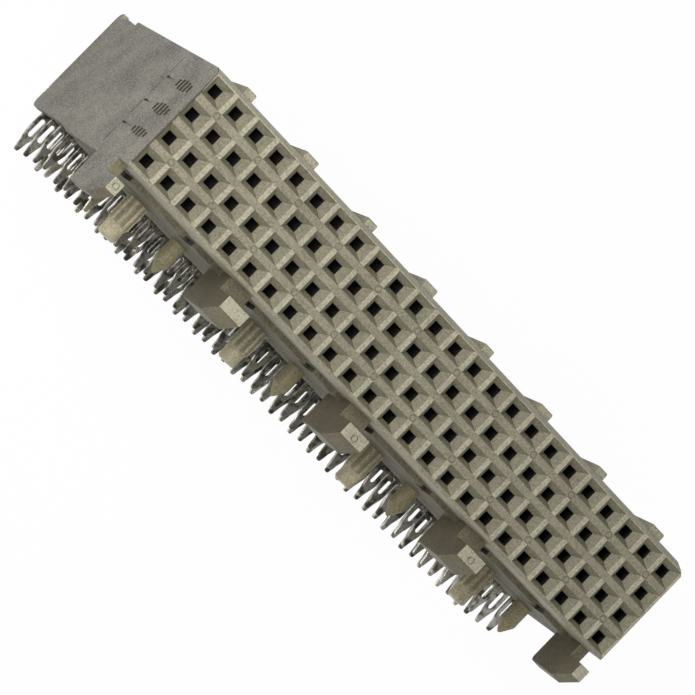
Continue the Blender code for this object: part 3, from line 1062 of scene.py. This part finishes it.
def finish_of(centre, normal):
    """Which version of the plastic a face of the housing shows."""
    x, y, depth = centre
    in_grid = abs(y) < -LIP - NEAR and abs(x) < HALF - NEAR
    if in_grid and 0.04 < depth < 0.1 and normal.z > FACING:
        return WALL
    if depth < 0.04 and LIP < y < BAND_Y + 0.015:
        return WALL
    # The funnels take painted shade.
    if in_grid and 0.05 < depth < FUNNEL_END:
        return FUNNEL_SHADE
    # The chambers behind the throats take painted shade, near black.
    if abs(x) < INSIDE - 0.02 and FUNNEL_END < depth < DEPTH - 0.4 and -3.3 < y < CEILING - 0.05:
        return CHAMBER_SHADE
    if y < SEAT - 0.05 and PIN_DEPTH - 1.0 < depth < PIN_DEPTH + 1.0:
        return pin_finish(x, y, depth)
    # The -X end plate takes painted shade, darker and greyer; the +X end takes the row-wall
    # version.
    if abs(normal.x) > LEANING and abs(x) > PLATE_X:
        return PLATE_SHADE if x < 0 else WALL
    # The walls of the dimples and of the relief slots take painted shade, near black.
    if -23.98 < x < -23.6 and y > -3.8 and depth < 6.0:
        return RECESS_SHADE
    if (x + HALF) % (MODULE / 2) < 2.21 and 3.25 < depth < 4.45 and -4.36 < y < -4.05:
        return RECESS_SHADE
    # The notch faces at the ends take painted shade, near black.
    if abs(x) > 23.5 and y > 3.6 and NOTCH_START + NEAR < depth < NOTCH_END - NEAR:
        return DEEP_SHADE
    if y > TOP and abs(normal.x) > FACING:
        return WALL
    if normal.y < -0.5 and -4.3 < y < LIP + NEAR and depth < SEAT_START:
        return LIP_FACE
    # The seat under the lip takes painted shade.
    if normal.y < -0.5 and y > -4.6:
        return SEAT_SHADE
    # Foot sides facing -X take a darker painted shade than the other foot faces.
    if y < SEAT and normal.x < -LEANING:
        return DEEP_SHADE
    # The other foot faces take a lighter painted shade.
    if y < SEAT and (abs(normal.x) > LEANING or abs(normal.y) > 0.5 or depth > 1.0):
        return FOOT_SHADE
    # The step and the foot fronts above the hooks take the seat's painted shade.
    if y < LIP and 2.0 < depth < 4.6:
        return SEAT_SHADE
    return PLAIN


counts = [0] * len(finishes)
for face in housing.data.polygons:
    face.material_index = finish_of(on_part(face.center), face.normal)
    counts[face.material_index] += 1
for face in organiser.data.polygons:
    face.material_index = 1 if on_part(face.center).z < 11.9 else 0
print("faces of each version:", counts)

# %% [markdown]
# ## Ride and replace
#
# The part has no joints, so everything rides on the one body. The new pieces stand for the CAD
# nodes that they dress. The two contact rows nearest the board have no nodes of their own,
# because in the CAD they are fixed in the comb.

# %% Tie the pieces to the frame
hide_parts("receptacle_housing")
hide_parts("tail_organiser")
for letter, copies in contacts.items():
    for column, contact in enumerate(copies):
        if letter in "cd":
            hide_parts(f"contact_{letter}{column + 1:02d}")
        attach(contact, "root")
for piece in (housing, organiser):
    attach(piece, "root")
print("pieces:", 2 + sum(len(copies) for copies in contacts.values()))

# %% [markdown]
# ## Floor, light and camera
#
# The photograph has a clean white ground. The floor mixes a plain white that only the camera and
# mirror-like surfaces see with a diffuse white that keeps the part's soft shadow. A weak even
# light comes from the world, and four soft lamps shape the block. The near one stands off the
# -X end, so the mating face grows darker towards the other end, as in the photograph.

# %% Floor
deselect()
bpy.ops.mesh.primitive_plane_add(size=30.0, location=(0, 0, -0.00002))
floor = bpy.context.object
floor.name = "floor"
ground, tree, shader = new_material("white_ground")
set_inputs(shader, {"Base Color": (0.9, 0.9, 0.9, 1.0), "Roughness": 0.9})
glow = add_node(tree, "ShaderNodeEmission", (0, -300))
set_inputs(glow, {"Strength": 1.0})
path = add_node(tree, "ShaderNodeLightPath", (-600, 300))
seen = add_math(tree, (-400, 300), "MAXIMUM", (path, "Is Camera Ray"), (path, "Is Glossy Ray"))
plain = add_math(tree, (-250, 300), "MAXIMUM", (seen, "Value"), (path, "Is Transmission Ray"))
share = add_math(tree, (-100, 300), "MULTIPLY", (plain, "Value"), 0.97)
blend = add_node(tree, "ShaderNodeMixShader", (200, 100))
wire(tree, share, "Value", blend, "Fac")
wire(tree, shader, "BSDF", blend, 1)
wire(tree, glow, "Emission", blend, 2)
wire(tree, blend, "Shader", tree.nodes["Material Output"], "Surface")
floor.data.materials.append(ground)
print("floor:", floor.name)


# %% Lamps and world
def add_lamp(name, place, aim, size, power):
    """A square soft lamp at a place in metres that points at another."""
    bpy.ops.object.light_add(type="AREA", location=place)
    lamp = bpy.context.object
    lamp.name = name
    lamp.data.shape = "SQUARE"
    lamp.data.size = size
    lamp.data.energy = power
    lamp.rotation_euler = (Vector(aim) - Vector(place)).to_track_quat("-Z", "Y").to_euler()


add_lamp("near", (-0.06, 0.0, 0.085), aim=(-0.01, 0.0, 0.015), size=0.05, power=0.059)
add_lamp("left", (-0.18, 0.03, 0.13), aim=(0.0, 0.0, 0.01), size=0.12, power=0.095)
add_lamp("right", (0.17, 0.0, 0.12), aim=(0.0, 0.0, 0.01), size=0.12, power=0.1)
add_lamp("below", (0.01, -0.08, 0.12), aim=(0.0, 0.0, 0.015), size=0.08, power=0.039)
world = bpy.data.worlds.new("studio")
bpy.context.scene.world = world
world.use_nodes = True
set_inputs(world.node_tree.nodes["Background"], {"Color": (1.0, 1.0, 1.0, 1.0), "Strength": 0.11})

# %% [markdown]
# The camera was fitted to the photograph by the 96 sockets, whose places are known. The fit gives
# the three directions of its view and where it stands, about 300 mm above the floor.

# %% Camera
RIGHT = Vector((0.62382, 0.69584, 0.35589))
UP = Vector((-0.65929, 0.71305, -0.23852))
BACK = Vector((-0.41974, -0.08584, 0.90358))
STAND = at(-136.24, -28.85, DEPTH - 302.45)

camera_data = bpy.data.cameras.new("camera")
camera = bpy.data.objects.new("camera", camera_data)
bpy.context.scene.collection.objects.link(camera)
camera_data.lens = 258.41
camera_data.sensor_width = 36.0
camera_data.clip_start = 0.01
camera_data.clip_end = 10.0
turn = Matrix((RIGHT, UP, BACK)).transposed().to_4x4()
camera.matrix_world = Matrix.Translation(STAND) @ turn
bpy.context.scene.camera = camera
bpy.context.scene.view_settings.view_transform = "Standard"
print("camera at", [round(value, 4) for value in camera.location])

# %% Update the view layer
bpy.context.view_layer.update()
